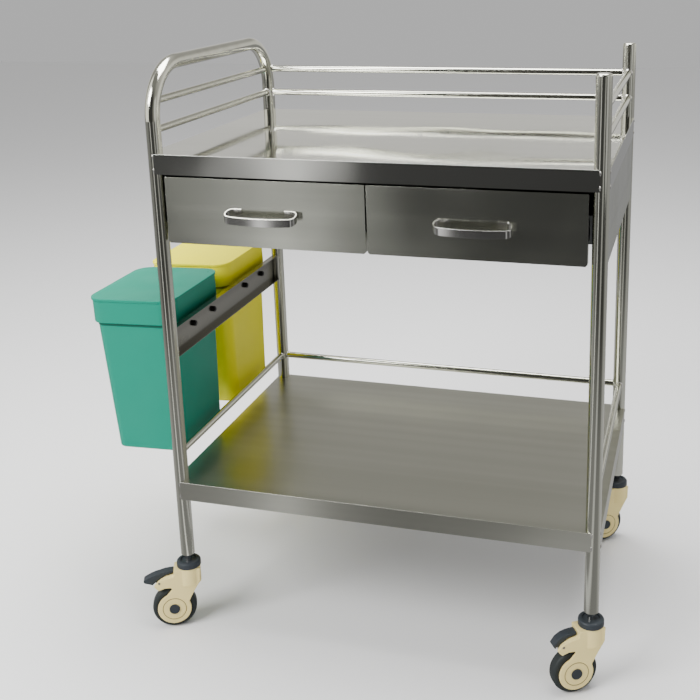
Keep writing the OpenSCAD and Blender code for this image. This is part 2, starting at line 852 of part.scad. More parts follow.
module collar() {
  round = 4;
  translate([0, 0, hub_top_z]) rotate_extrude() difference() {
    union() {
      square([collar_r, collar_h - round]);
      square([collar_r - round, collar_h]);
      translate([collar_r - round, collar_h - round]) circle(r = round);
    }
    translate([-eps, -eps]) square([stem_d / 2 + run_gap + eps, collar_h + 2 * eps]);
    translate([-2 * round, collar_h - 2]) square([2 * round + collar_r - 7, 4]);
  }
}

module axle() {
  cap_r = 9.5;
  cap_t = 1.8;
  translate([castor_trail, 0, axle_z]) {
    rod_y(axle_d / 2, -cheek_out - cap_t, cheek_out + cap_t);
    for (side = [0, 1]) mirror([0, side, 0]) rod_y(cap_r, cheek_out + weld_gap, cheek_out + cap_t);
  }
}

core_r = wheel_r - 10.5;

module wheel() {
  hub_r = 14;
  web_recess = 4;
  translate([castor_trail, 0, axle_z]) difference() {
    rod_y(core_r, -wheel_w / 2, wheel_w / 2);
    rod_y(axle_d / 2 + run_gap, -wheel_w, wheel_w);
    for (side = [0, 1]) mirror([0, side, 0]) difference() {
      rod_y(core_r - 4, wheel_w / 2 - web_recess, wheel_w);
      rod_y(hub_r, 0, 2 * wheel_w);
    }
  }
}

module tyre() {
  shoulder = 6;
  translate([castor_trail, -wheel_w / 2, axle_z]) rotate([-90, 0, 0]) rotate_extrude() {
    translate([core_r + weld_gap, 0]) square([wheel_r - shoulder - core_r - weld_gap, wheel_w]);
    translate([wheel_r - shoulder - eps, shoulder]) square([shoulder + eps, wheel_w - 2 * shoulder]);
    for (y = [shoulder, wheel_w - shoulder]) translate([wheel_r - shoulder, y]) intersection() {
      circle(r = shoulder);
      translate([-eps, -shoulder]) square([shoulder + eps, 2 * shoulder]);
    }
  }
}

pedal_range = 12;
shoe_r = 5;
shoe_clear = 0.8;

// The left castor's pedal is the long kind, with a lip past the end of the arm
module pedal(lipped) {
  web_v = arm_in - 0.5;
  to_axle = [castor_trail, axle_z] - [pin_u, pin_z];
  shoe_reach = norm(to_axle) - wheel_r - shoe_clear - shoe_r;
  shoe_a = atan2(to_axle[1], to_axle[0]) + pedal_range;
  shoe = shoe_reach * [cos(shoe_a), sin(shoe_a)];
  tread = [
    [-26, 14.5], [-14, 11.8], [-5, 7.8], [3, 2.5], [11.5, -6], [15.5, -1],
    [8, 9.5], [-1.2, 15.5], [-12, 18.3], [-26, 19.3]
  ];
  lip = [
    [6, 2], [11.5, -6], [13, -7], [pedal_nose - 2, -1.8], [pedal_nose, 1.5],
    [pedal_nose - 2, 5], [15, 10.8], [6, 14], [-1.2, 15.5]
  ];
  difference() {
    translate([pin_u, 0, pin_z]) {
      across(-tread_v, tread_v) {
        polygon(tread);
        if (lipped) polygon(lip);
      }
      across(-web_v, web_v) {
        circle(r = 7);
        translate(shoe) circle(r = shoe_r);
        polygon([[-7, 0], shoe - [shoe_r, 0], shoe + [shoe_r, 0], [7, 0]]);
        polygon([[-7, 0], [7, 0], [3, 5], [-9, 12]]);
      }
    }
    translate([pin_u, 0, pin_z]) rod_y(pin_d / 2 + run_gap, -2 * cheek_out, 2 * cheek_out);
  }
}

module pedal_pin() {
  translate([pin_u, 0, pin_z]) rod_y(pin_d / 2, -cheek_out - 0.6, cheek_out + 0.6);
}

module left_front() { at_castor(left_x, front_y, left_swivel) children(); }

module right_front() { at_castor(right_x, front_y, right_swivel) children(); }

module left_rear() { at_castor(left_x, rear_y, rear_swivel) children(); }

module right_rear() { at_castor(right_x, rear_y, rear_swivel) children(); }

module left_front_fork() { color(cream) left_front() fork(true); }

module left_front_collar() { color(dark_grey) left_front() collar(); }

module left_front_axle() { color(dark_grey) left_front() axle(); }

module left_front_wheel() { color(cream) left_front() wheel(); }

module left_front_tyre() { color("#33383a") left_front() tyre(); }

module left_front_pedal() { color(dark_grey) left_front() pedal(true); }

module left_front_pedal_pin() { color("silver") left_front() pedal_pin(); }

module right_front_fork() { color(cream) right_front() fork(true); }

module right_front_collar() { color(dark_grey) right_front() collar(); }

module right_front_axle() { color(dark_grey) right_front() axle(); }

module right_front_wheel() { color(cream) right_front() wheel(); }

module right_front_tyre() { color("#33383a") right_front() tyre(); }

module right_front_pedal() { color(dark_grey) right_front() pedal(false); }

module right_front_pedal_pin() { color("silver") right_front() pedal_pin(); }

module left_rear_fork() { color(cream) left_rear() fork(false); }

module left_rear_collar() { color(dark_grey) left_rear() collar(); }

module left_rear_axle() { color(dark_grey) left_rear() axle(); }

module left_rear_wheel() { color(cream) left_rear() wheel(); }

module left_rear_tyre() { color("#33383a") left_rear() tyre(); }

module right_rear_fork() { color(cream) right_rear() fork(false); }

module right_rear_collar() { color(dark_grey) right_rear() collar(); }

module right_rear_axle() { color(dark_grey) right_rear() axle(); }

module right_rear_wheel() { color(cream) right_rear() wheel(); }

module right_rear_tyre() { color("#33383a") right_rear() tyre(); }

handle_frame();
right_front_post();
right_rear_post();
post_caps();
left_guard_rails();
rear_guard_rails();
right_guard_rails();
shelf_rails();
top_tray();
lower_shelf();
left_case_panel();
right_case_panel();
rear_case_panel();
case_divider();
slide_mounts();
slide_outer_rails();
left_drawer_box();
left_drawer_front();
left_drawer_pull();
left_pull_screws();
left_slide_inners();
left_slide_middles();
right_drawer_box();
right_drawer_front();
right_drawer_pull();
right_pull_screws();
right_slide_inners();
right_slide_middles();
bin_bar();
bin_bolts();
green_bin();
green_lid();
yellow_bin();
yellow_lid();
castor_stems();
left_front_fork();
left_front_collar();
left_front_axle();
left_front_wheel();
left_front_tyre();
left_front_pedal();
left_front_pedal_pin();
right_front_fork();
right_front_collar();
right_front_axle();
right_front_wheel();
right_front_tyre();
right_front_pedal();
right_front_pedal_pin();
left_rear_fork();
left_rear_collar();
left_rear_axle();
left_rear_wheel();
left_rear_tyre();
right_rear_fork();
right_rear_collar();
right_rear_axle();
right_rear_wheel();
right_rear_tyre();
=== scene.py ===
import json
from math import radians

import bpy
from mathutils import Matrix, Vector


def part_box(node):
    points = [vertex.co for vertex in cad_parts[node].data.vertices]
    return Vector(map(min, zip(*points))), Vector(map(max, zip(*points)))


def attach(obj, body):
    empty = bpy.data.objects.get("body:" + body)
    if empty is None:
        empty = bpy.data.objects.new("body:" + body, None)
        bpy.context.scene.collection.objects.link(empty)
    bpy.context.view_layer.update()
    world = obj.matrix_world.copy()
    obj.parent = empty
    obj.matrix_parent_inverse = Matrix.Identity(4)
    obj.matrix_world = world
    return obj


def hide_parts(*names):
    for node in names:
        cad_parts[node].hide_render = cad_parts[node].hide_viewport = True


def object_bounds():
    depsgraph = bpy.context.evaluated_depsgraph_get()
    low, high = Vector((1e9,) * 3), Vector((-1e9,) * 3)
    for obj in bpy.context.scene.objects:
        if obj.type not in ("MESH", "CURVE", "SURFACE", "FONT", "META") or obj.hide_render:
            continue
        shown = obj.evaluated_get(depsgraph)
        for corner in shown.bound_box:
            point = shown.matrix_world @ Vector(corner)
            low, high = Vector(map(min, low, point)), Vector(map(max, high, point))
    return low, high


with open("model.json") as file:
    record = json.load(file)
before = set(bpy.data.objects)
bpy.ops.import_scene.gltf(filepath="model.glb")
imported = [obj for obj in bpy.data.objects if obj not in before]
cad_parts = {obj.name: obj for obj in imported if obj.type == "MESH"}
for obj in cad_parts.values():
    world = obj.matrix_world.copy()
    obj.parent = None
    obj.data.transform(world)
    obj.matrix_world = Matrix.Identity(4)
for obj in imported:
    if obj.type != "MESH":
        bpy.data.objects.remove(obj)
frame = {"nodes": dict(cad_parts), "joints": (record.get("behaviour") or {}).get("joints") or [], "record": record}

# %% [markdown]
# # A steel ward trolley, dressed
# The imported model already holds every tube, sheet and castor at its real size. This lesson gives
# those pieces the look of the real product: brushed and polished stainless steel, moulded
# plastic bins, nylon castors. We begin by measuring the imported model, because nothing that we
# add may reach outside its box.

box_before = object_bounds()
record = frame["record"]
body_of = {node: body for body, nodes in record["behaviour"]["bodies"].items() for node in nodes}
slot_of = {part["node"]: part["material_slot"] for part in record["subparts"]}
print("box:", [tuple(round(v, 3) for v in corner) for corner in box_before])

# %% [markdown]
# The camera stands where a person would stand to look down at the drawers, a little to the
# right of the cart. It is set first, so that every later picture is judged from one place. The
# lens shift keeps the upright posts nearly upright in the frame without tilting the camera back.

# %% Camera
CAMERA_PLACE = (0.5982, -1.7920, 1.2204)
CAMERA_TURN = (75.569, 1.157, 15.483)       # degrees, about x, y and z
SENSOR, LENS = 36, 54.39                    # millimetres
SHIFT = (-0.0895, -0.188)
bpy.ops.object.select_all(action="DESELECT")
bpy.ops.object.camera_add(location=CAMERA_PLACE, rotation=[radians(angle) for angle in CAMERA_TURN])
camera = bpy.context.active_object
camera.name = "camera"
camera.data.sensor_width = SENSOR
camera.data.lens = LENS
camera.data.shift_x, camera.data.shift_y = SHIFT
bpy.context.scene.camera = camera
print("camera height", round(camera.location.z, 3), "m")

# %% [markdown]
# Polished metal has no colour of its own: it shows what stands round it. In an all-white room
# steel looks like grey plastic. A studio for metal is therefore half dark: a pale wall behind,
# a dark room in front, a bright window on one side. Only rays that bounce off a glossy surface
# see that room. Everything else, the camera too, sees a plain pale sweep.


# %% Helpers for shader trees
def add_node(tree, kind, links=(), **settings):
    """A node in a tree, with (socket, source) links, and settings for itself or its sockets."""
    node = tree.nodes.new(kind)
    for label, value in settings.items():
        if hasattr(node, label):
            setattr(node, label, value)
        else:
            node.inputs[label.replace("_", " ")].default_value = value
    for socket, source in links:
        tree.links.new(source, node.inputs[socket])
    return node


def between(tree, value, low, high, start=0.0, end=1.0, smooth=False):
    """Maps a value that runs from start to end onto low..high."""
    node = add_node(tree, "ShaderNodeMapRange", [("Value", value)],
                    From_Min=start, From_Max=end, To_Min=low, To_Max=high)
    if smooth:
        node.interpolation_type = "SMOOTHSTEP"
    return node.outputs[0]


def calculate(tree, operation, first, second):
    """A sum or product of two inputs, each a socket or a plain number."""
    node = add_node(tree, "ShaderNodeMath", operation=operation)
    for socket, value in enumerate((first, second)):
        if isinstance(value, float):
            node.inputs[socket].default_value = value
        else:
            tree.links.new(value, node.inputs[socket])
    return node.outputs[0]


print("shader helpers ready")

# %% Floor
FLOOR_SIZE, PALE_GREY = 18, 0.93
bpy.ops.object.select_all(action="DESELECT")
bpy.ops.mesh.primitive_plane_add(size=FLOOR_SIZE, location=(0, 0, 0))
floor = bpy.context.active_object
floor.name = "floor"
floor_paint = bpy.data.materials.new("floor_paint")
floor_paint.use_nodes = True
tree = floor_paint.node_tree
pale = tree.nodes["Principled BSDF"]
pale.inputs["Base Color"].default_value = (PALE_GREY, PALE_GREY, PALE_GREY, 1)
pale.inputs["Roughness"].default_value = 0.8
print("floor laid,", FLOOR_SIZE, "m wide")

# %% [markdown]
# What the steel sees on the floor is a dark ground with bright pools of light, as under the
# lamps of a showroom. A radial gradient runs once round the cart: 0 is its left, a quarter turn
# is its front, a half is its right and three quarters is its back. Each pair below is a place
# on that turn and the light there. The narrow bright pool at the front left is what draws the
# soft cloud on the left drawer; the dark ground beside it keeps the right drawer dark.

# %% The floor as polished metal sees it
POOLS = [
    (0.00, 0.30), (0.08, 0.24), (0.135, 0.10), (0.172, 0.10),       # left, fading to the front
    (0.185, 1.25), (0.192, 1.25), (0.203, 0.08),                    # the bright pool
    (0.25, 0.065), (0.305, 0.065),                                  # dark ground in front
    (0.325, 0.50), (0.345, 0.50), (0.365, 0.05), (0.44, 0.07),      # a strip for the posts
    (0.49, 0.38), (0.60, 0.40), (0.66, 0.32), (0.84, 0.32),         # right and back
    (0.92, 0.30), (1.00, 0.30)]
GLOW, GLOW_NEAR, GLOW_FAR = 0.20, 1.0, 2.4      # light close round the cart, and where it ends
WARMTH = 0.95
floor_place = add_node(tree, "ShaderNodeTexCoord").outputs["Object"]
turn = add_node(tree, "ShaderNodeTexGradient", [("Vector", floor_place)], gradient_type="RADIAL")
pools = add_node(tree, "ShaderNodeValToRGB", [("Fac", turn.outputs["Fac"])])
while len(pools.color_ramp.elements) < len(POOLS):
    pools.color_ramp.elements.new(0.5)
for stop, (where, light) in zip(pools.color_ramp.elements, POOLS):
    stop.position = where
    stop.color = (light, light, light * WARMTH, 1)
from_cart = add_node(tree, "ShaderNodeVectorMath", [(0, floor_place)], operation="LENGTH").outputs["Value"]
near_glow = between(tree, from_cart, GLOW, 0.0, GLOW_NEAR, GLOW_FAR, smooth=True)
floor_light = calculate(tree, "ADD", pools.outputs["Color"], near_glow)
mirrored = add_node(tree, "ShaderNodeEmission", [("Strength", floor_light)])
rays = add_node(tree, "ShaderNodeLightPath")
blend = add_node(tree, "ShaderNodeMixShader", [
    (0, rays.outputs["Is Glossy Ray"]), (1, pale.outputs[0]), (2, mirrored.outputs[0])])
tree.links.new(blend.outputs[0], tree.nodes["Material Output"].inputs["Surface"])
floor.data.materials.append(floor_paint)
print("floor has", len(POOLS), "stops of light")

# %% [markdown]
# The room round the cart follows the same idea. The world is painted by direction: a pale wall
# behind that fades upwards, which the level tray mirrors, a window on the left, a dim wall on
# the right and a dim ceiling. All that isn't a mirrored ray sees one even white.

# %% Sky
EVEN_LIGHT = 0.52
WALL, WINDOW, RIGHT_WALL, CEILING = (0.05, 0.84), 1.5, 0.38, 0.22
world = bpy.data.worlds.new("studio")
world.use_nodes = True
bpy.context.scene.world = world
tree = world.node_tree
heading = add_node(tree, "ShaderNodeTexCoord").outputs["Generated"]
way = add_node(tree, "ShaderNodeSeparateXYZ", [(0, heading)]).outputs
wall_behind = calculate(
    tree, "MULTIPLY",
    between(tree, way["Y"], *WALL, -0.30, 0.55, smooth=True),
    between(tree, way["Z"], 1.0, 0.50, 0.18, 0.46, smooth=True))
window = calculate(
    tree, "MULTIPLY",
    between(tree, way["X"], 0.0, WINDOW, -0.45, -0.62, smooth=True),
    between(tree, way["Y"], 0.0, 1.0, 0.1, -0.15, smooth=True))
right_wall = between(tree, way["X"], 0.0, RIGHT_WALL, 0.35, 0.85, smooth=True)
ceiling = between(tree, way["Z"], 0.0, CEILING, 0.45, 0.85, smooth=True)
room = calculate(tree, "ADD", calculate(tree, "ADD", wall_behind, window),
                 calculate(tree, "ADD", right_wall, ceiling))
rays = add_node(tree, "ShaderNodeLightPath")
plain = add_node(tree, "ShaderNodeBackground", Color=(1, 1, 1, 1), Strength=EVEN_LIGHT)
mirrored = add_node(tree, "ShaderNodeBackground", [("Strength", room)], Color=(1.0, 0.985, 0.93, 1))
blend = add_node(tree, "ShaderNodeMixShader", [
    (0, rays.outputs["Is Glossy Ray"]), (1, plain.outputs[0]), (2, mirrored.outputs[0])])
tree.links.new(blend.outputs[0], tree.nodes["World Output"].inputs["Surface"])
print("sky ready, even light", EVEN_LIGHT)

# %% [markdown]
# Three soft lamps give the plastics their shape. The key lamp stands high at the front left, the
# largest hangs over the cart, and a weak one opens the shade on the right.


# %% Lamps
def soft_lamp(name, place, aim, size, power):
    """A rectangular lamp that faces a point."""
    bpy.ops.object.light_add(type="AREA", location=place)
    lamp = bpy.context.active_object
    lamp.name = name
    lamp.rotation_euler = (Vector(aim) - Vector(place)).to_track_quat("-Z", "Y").to_euler()
    lamp.data.shape = "RECTANGLE"
    lamp.data.size, lamp.data.size_y = size
    lamp.data.energy = power


LAMPS = [      # name, place, size and power in watts
    ("key_lamp", (-1.6, -2.2, 2.6), (1.6, 1.6), 128),
    ("top_lamp", (0.1, 0.3, 3.0), (2.2, 1.4), 135),
    ("fill_lamp", (2.6, -1.4, 1.2), (1.2, 2.0), 4),
]
middle = (box_before[0] + box_before[1]) / 2
for name, place, size, power in LAMPS:
    soft_lamp(name, place, middle, size, power)
print(len(LAMPS), "lamps aimed at", tuple(round(v, 2) for v in middle))

# %% [markdown]
# Several finishes share the same small effects, so each effect is a shader node group, built
# once. The first is the grain of brushed steel: noise pulled out very long in one direction.
# Fine lines tilt the surface a little, and broader ones make soft bands of lighter and darker
# metal, as on sheet that was brushed on a belt. The noise has little detail, because finer
# detail than this turns to speckle at the size of a whole cart.


# %% A helper for node groups
def new_group(name, inputs, outputs):
    """An empty shader group with its sockets, and the sockets of its two ends."""
    group = bpy.data.node_groups.new(name, "ShaderNodeTree")
    for label, kind, value in inputs:
        socket = group.interface.new_socket(name=label, in_out="INPUT", socket_type=kind)
        socket.default_value = value
    for label, kind in outputs:
        group.interface.new_socket(name=label, in_out="OUTPUT", socket_type=kind)
    entry = group.nodes.new("NodeGroupInput")
    leave = group.nodes.new("NodeGroupOutput")
    return group, entry.outputs, leave.inputs


FLOAT, VECTOR = "NodeSocketFloat", "NodeSocketVector"
print("group helper ready")

# %% The brushed grain
grain, entry, leave = new_group(
    "brushed_grain",
    [("Place", VECTOR, (0, 0, 0)), ("Stretch", VECTOR, (3, 900, 900)), ("Bands", VECTOR, (0.6, 14, 14))],
    [("Height", FLOAT), ("Band", FLOAT)])
for stretched_by, result in (("Stretch", "Height"), ("Bands", "Band")):
    pulled = add_node(grain, "ShaderNodeVectorMath", [(0, entry["Place"]), (1, entry[stretched_by])],
                      operation="MULTIPLY")
    noise = add_node(grain, "ShaderNodeTexNoise", [("Vector", pulled.outputs[0])],
                     Scale=1, Detail=1, Roughness=0.5)
    grain.links.new(noise.outputs["Fac"], leave[result])
print("brushed_grain has", len(grain.nodes), "nodes")

# %% [markdown]
# The second effect is handling: hands and cloths leave soft cloudy patches that are a little
# duller than clean metal or plastic. The third is the skin of a moulded part, which is never
# perfectly flat: a fine pebble from the mould, and a slow wave where the plastic shrank.

# %% Handling marks and moulded skin
marks, entry, leave = new_group(
    "handling_marks", [("Place", VECTOR, (0, 0, 0)), ("Size", FLOAT, 9.0)], [("Mask", FLOAT)])
clouds = add_node(marks, "ShaderNodeTexNoise", [("Vector", entry["Place"]), ("Scale", entry["Size"])],
                  Detail=1.5, Roughness=0.5)
marks.links.new(between(marks, clouds.outputs["Fac"], 0.0, 1.0, 0.35, 0.70, smooth=True), leave["Mask"])

skin, entry, leave = new_group(
    "moulded_skin", [("Place", VECTOR, (0, 0, 0)), ("Pebble", FLOAT, 900.0), ("Wave", FLOAT, 14.0)],
    [("Height", FLOAT), ("Mottle", FLOAT)])
PEBBLE_SHARE = 0.25


def skin_noise(size, detail):
    links = [("Vector", entry["Place"]), ("Scale", entry[size])]
    return add_node(skin, "ShaderNodeTexNoise", links, Detail=detail).outputs["Fac"]


pebble, wave = skin_noise("Pebble", 2), skin_noise("Wave", 3)
fine_part = calculate(skin, "MULTIPLY", pebble, PEBBLE_SHARE)
skin.links.new(calculate(skin, "ADD", fine_part, wave), leave["Height"])
skin.links.new(wave, leave["Mottle"])
print("handling_marks and moulded_skin ready")

# %% [markdown]
# A finish is one function for steel and one for plastic. Both read Object coordinates, so the
# pattern stays where it is when a drawer slides or a castor turns. Colour runs between two
# shades by a mask, and so does roughness. A bump can lie on top of a slower one, because a Bump
# node has a Normal socket of its own.


# %% Mixing helpers
def tint(tree, mask, first, second):
    """A colour that runs from first to second by a mask."""
    node = tree.nodes.new("ShaderNodeMix")
    node.data_type = "RGBA"
    tree.links.new(mask, node.inputs["Factor"])
    node.inputs[6].default_value = (*first, 1)
    node.inputs[7].default_value = (*second, 1)
    return node.outputs[2]


def put_group(tree, group, place, **values):
    """Places a group in a material, with its own values."""
    node = tree.nodes.new("ShaderNodeGroup")
    node.node_tree = group
    tree.links.new(place, node.inputs["Place"])
    for label, value in values.items():
        node.inputs[label].default_value = value
    return node.outputs


def new_finish(name):
    """A new material, its tree, its shader and its Object coordinates."""
    material = bpy.data.materials.new(name)
    material.use_nodes = True
    tree = material.node_tree
    place = add_node(tree, "ShaderNodeTexCoord").outputs["Object"]
    return material, tree, tree.nodes["Principled BSDF"], place


def bump(tree, height, strength, distance, under=None):
    """A bump of a height in metres, on top of another one if that is given."""
    links = [("Height", height)]
    if under:
        links.append(("Normal", under))
    return add_node(tree, "ShaderNodeBump", links, Strength=strength, Distance=distance).outputs["Normal"]


print("finish helpers ready")

# %% [markdown]
# No sheet lies perfectly flat between its folds: it buckles by a fraction of a millimetre, and
# that is what breaks up its reflections. The polished top shows it most, as wavy lines where it
# mirrors the rails. The shelf is duller, because goods slide about on it.

# %% Steel
LINE_HEIGHT, BUCKLE_HEIGHT = 0.0002, 0.0035
STEEL_MARKS, BUCKLES = 7.0, 5.0                  # patches and waves to a metre


def steel(name, shades, gloss, brushing, relief, buckle=0.0):
    """Steel: its light and dark shades, a pair of roughness values, and the way it is brushed."""
    material, tree, shader, place = new_finish(name)
    stretch, bands = brushing
    brushed = put_group(tree, grain, place, Stretch=stretch, Bands=bands)
    mask = put_group(tree, marks, place, Size=STEEL_MARKS)["Mask"]
    light, dark = shades
    shader.inputs["Metallic"].default_value = 1.0
    tree.links.new(tint(tree, brushed["Band"], dark, light), shader.inputs["Base Color"])
    tree.links.new(between(tree, mask, *gloss), shader.inputs["Roughness"])
    wave = None
    if buckle:
        slow = add_node(tree, "ShaderNodeTexNoise", [("Vector", place)], Scale=BUCKLES, Detail=0)
        wave = bump(tree, slow.outputs["Fac"], buckle, BUCKLE_HEIGHT)
    tree.links.new(bump(tree, brushed["Height"], relief, LINE_HEIGHT, wave), shader.inputs["Normal"])
    return material


# lines to a metre along x, y and z, and then the same for the broad bands
SHEET_ACROSS = (2, 160, 160), (0.5, 40, 40)
SHEET_ALONG = (160, 2, 160), (40, 0.5, 40)
TUBE_UPRIGHT = (300, 300, 3), (40, 40, 1)
TUBE_ACROSS = (3, 300, 300), (1, 40, 40)
TUBE_ALONG = (300, 3, 300), (40, 1, 40)
PLATED = (60, 60, 60), (30, 30, 30)
GALVANISED = (300, 40, 300), (20, 20, 20)
print("steel ready")

# %% Sheet steels
SHEET = (0.63, 0.64, 0.56), (0.47, 0.48, 0.42)
TOP = (0.62, 0.62, 0.58), (0.55, 0.55, 0.51)
WORN = (0.51, 0.51, 0.45), (0.40, 0.40, 0.35)
# painted shade: the bin bar's sheet is given a darker colour to stand in for the shade it lies in under the bins
BAR_PAINTED_SHADE = (0.34, 0.33, 0.29), (0.17, 0.165, 0.145)
SATIN, MIRROR, DULL = (0.17, 0.24), (0.050, 0.085), (0.285, 0.335)
sheet_x = steel("sheet_brushed_across", SHEET, SATIN, SHEET_ACROSS, 0.012, 0.4)
sheet_y = steel("sheet_brushed_along", SHEET, SATIN, SHEET_ALONG, 0.012, 0.4)
top_sheet = steel("sheet_polished", TOP, MIRROR, SHEET_ACROSS, 0.01, 1.0)
worn_sheet = steel("sheet_worn", WORN, DULL, SHEET_ACROSS, 0.012, 0.3)
bar_sheet_painted_shade = steel("sheet_painted_shade", BAR_PAINTED_SHADE, (0.16, 0.24), SHEET_ALONG, 0.012, 0.4)
print("five sheet steels")

# %% Tube, plate and fasteners
TUBE = (0.70, 0.70, 0.62), (0.56, 0.56, 0.48)
POLISHED = (0.11, 0.15)
tube_z = steel("tube_polished_upright", TUBE, POLISHED, TUBE_UPRIGHT, 0.03)
tube_x = steel("tube_polished_across", TUBE, POLISHED, TUBE_ACROSS, 0.03)
tube_y = steel("tube_polished_along", TUBE, POLISHED, TUBE_ALONG, 0.03)
bright = steel("bright_plate", ((0.80, 0.79, 0.76), (0.66, 0.65, 0.62)), (0.12, 0.22), PLATED, 0.04)
zinc = steel("zinc_plate", ((0.62, 0.64, 0.66), (0.48, 0.50, 0.53)), (0.28, 0.44), GALVANISED, 0.08)
# painted shade: the bin bolts are coloured near-black to stand in for the shade in the bar's channel
BOLT_PAINTED_SHADE = (0.060, 0.058, 0.055), (0.035, 0.034, 0.033)
bolts_painted_shade = steel("bolt_steel_painted_shade", BOLT_PAINTED_SHADE, (0.30, 0.45), PLATED, 0.04)
print("six more steels")

# %% [markdown]
# The plastics are opaque and satin. Their specular level is low, so that a pale studio doesn't
# wash out the green and the yellow. The darker green and yellow are painted shade for the band
# under each lid's skirt; the darker green also colours the gate mark on the green lid.

# %% Plastic and rubber
PLASTIC_MARKS, SKIN_HEIGHT, PLASTIC_SPECULAR = 12.0, 0.0006, 0.22


def plastic(name, colour, darker, gloss, pebble=900.0, relief=0.10):
    """A moulded part: its colour, its slightly darker shade and a pair of roughness values."""
    material, tree, shader, place = new_finish(name)
    moulded = put_group(tree, skin, place, Pebble=pebble)
    mask = put_group(tree, marks, place, Size=PLASTIC_MARKS)["Mask"]
    tree.links.new(tint(tree, moulded["Mottle"], darker, colour), shader.inputs["Base Color"])
    tree.links.new(between(tree, mask, *gloss), shader.inputs["Roughness"])
    shader.inputs["Specular IOR Level"].default_value = PLASTIC_SPECULAR
    tree.links.new(bump(tree, moulded["Height"], relief, SKIN_HEIGHT), shader.inputs["Normal"])
    return material


green = plastic("green_moulding", (0.001, 0.262, 0.174), (0.001, 0.235, 0.155), (0.32, 0.42))
# painted shade: darker copies of the green and yellow for the rim band under each lid; the darker green also
# colours the gate mark
green_painted_shade_and_mark = plastic("green_moulding_shaded", (0.001, 0.120, 0.080), (0.001, 0.095, 0.062), (0.45, 0.60))
yellow = plastic("yellow_moulding", (0.95, 0.88, 0.001), (0.89, 0.81, 0.001), (0.36, 0.46))
yellow_painted_shade = plastic("yellow_moulding_shaded", (0.34, 0.29, 0.010), (0.28, 0.23, 0.008), (0.45, 0.60))
cream = plastic("cream_nylon", (0.84, 0.70, 0.31), (0.77, 0.63, 0.27), (0.38, 0.52))
# painted shade: a thin dark ring stands for the shadow in the groove round each wheel cover
groove_shade = plastic("groove_shade", (0.20, 0.145, 0.055), (0.15, 0.105, 0.040), (0.60, 0.75))
dark = plastic("dark_moulding", (0.040, 0.048, 0.055), (0.028, 0.033, 0.040), (0.34, 0.52))
tread = plastic("tread_rubber", (0.032, 0.038, 0.038), (0.022, 0.026, 0.026), (0.50, 0.68), 420.0, 0.25)
print("eight mouldings")

# %% [markdown]
# Each imported node takes a finish through its record slot. Sheet is brushed along its length, so
# side panels take the grain that runs from front to back. Tubes are polished, with fine lines
# along the tube where the polishing belt ran. Some nodes have a finish of their own: the top is
# polished, the shelf is worn, and the bin bar and its bolts are darker as painted shade.

# %% Put finishes on the imported nodes
SLOT_FINISH = {
    "brushed_sheet": sheet_x, "polished_tube": tube_z, "bright_steel": bright, "zinc_steel": zinc,
    "green_plastic": green, "yellow_plastic": yellow, "cream_plastic": cream, "dark_plastic": dark,
    "tread": tread,
}
NODE_FINISH = {
    "left_case_panel": sheet_y, "right_case_panel": sheet_y, "case_divider": sheet_y,
    "left_guard_rails": tube_y, "right_guard_rails": tube_y, "rear_guard_rails": tube_x,
    "shelf_rails": tube_y, "bin_bar": bar_sheet_painted_shade, "bin_bolts": bolts_painted_shade,
    "top_tray": top_sheet, "lower_shelf": worn_sheet,
}


def finish_of(node):
    """A node's own finish if it has one, or else its slot's."""
    return NODE_FINISH.get(node, SLOT_FINISH[slot_of[node]])


for node, obj in frame["nodes"].items():
    obj.data.materials.clear()
    obj.data.materials.append(finish_of(node))
print(len(frame["nodes"]), "nodes finished")

# %% [markdown]
# Sheet that was folded on a press has a small round along each fold, and that round catches a
# thin line of light. The imported sheets are drawn with sharp folds. So the trays, the drawer
# fronts and the bin bar are copied, their loose triangles are merged, and only their outer fold
# edges are bevelled.

# %% Helpers for selecting
import bmesh


def alone(obj):
    """Selects one object only, and makes it the active one."""
    bpy.ops.object.select_all(action="DESELECT")
    obj.select_set(True)
    bpy.context.view_layer.objects.active = obj


def choose(obj, kind, test):
    """In edit mode, selects only the faces, edges or points that pass a test."""
    bpy.ops.mesh.select_mode(type=kind)
    bpy.ops.mesh.select_all(action="DESELECT")
    mesh = bmesh.from_edit_mesh(obj.data)
    items = {"FACE": mesh.faces, "EDGE": mesh.edges, "VERT": mesh.verts}[kind]
    chosen = [item for item in items if test(item)]
    for item in chosen:
        item.select_set(True)
    bmesh.update_edit_mesh(obj.data)
    return len(chosen)


def near(a, b, reach=1e-4):
    return abs(a - b) < reach


print("selecting helpers ready")


# %% Helpers for shaping and finishing
def modify(obj, kind, **settings):
    """Adds a modifier to a piece and applies it."""
    alone(obj)
    modifier = obj.modifiers.new(kind.lower(), kind)
    for label, value in settings.items():
        setattr(modifier, label, value)
    bpy.ops.object.modifier_apply(modifier=modifier.name)


def finished(obj, name, body, slot, finish, *nodes, smooth=35):
    """Gives a piece its name, finish and body, with its place in its mesh."""
    alone(obj)
    bpy.ops.object.transform_apply(location=True, rotation=True, scale=True)
    bpy.ops.object.shade_smooth_by_angle(angle=radians(smooth))
    modify(obj, "WEIGHTED_NORMAL", keep_sharp=True, weight=100)
    obj.name = obj.data.name = name
    obj.data.materials.clear()
    obj.data.materials.append(finish)
    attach(obj, body)
    if nodes:
        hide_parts(*nodes)


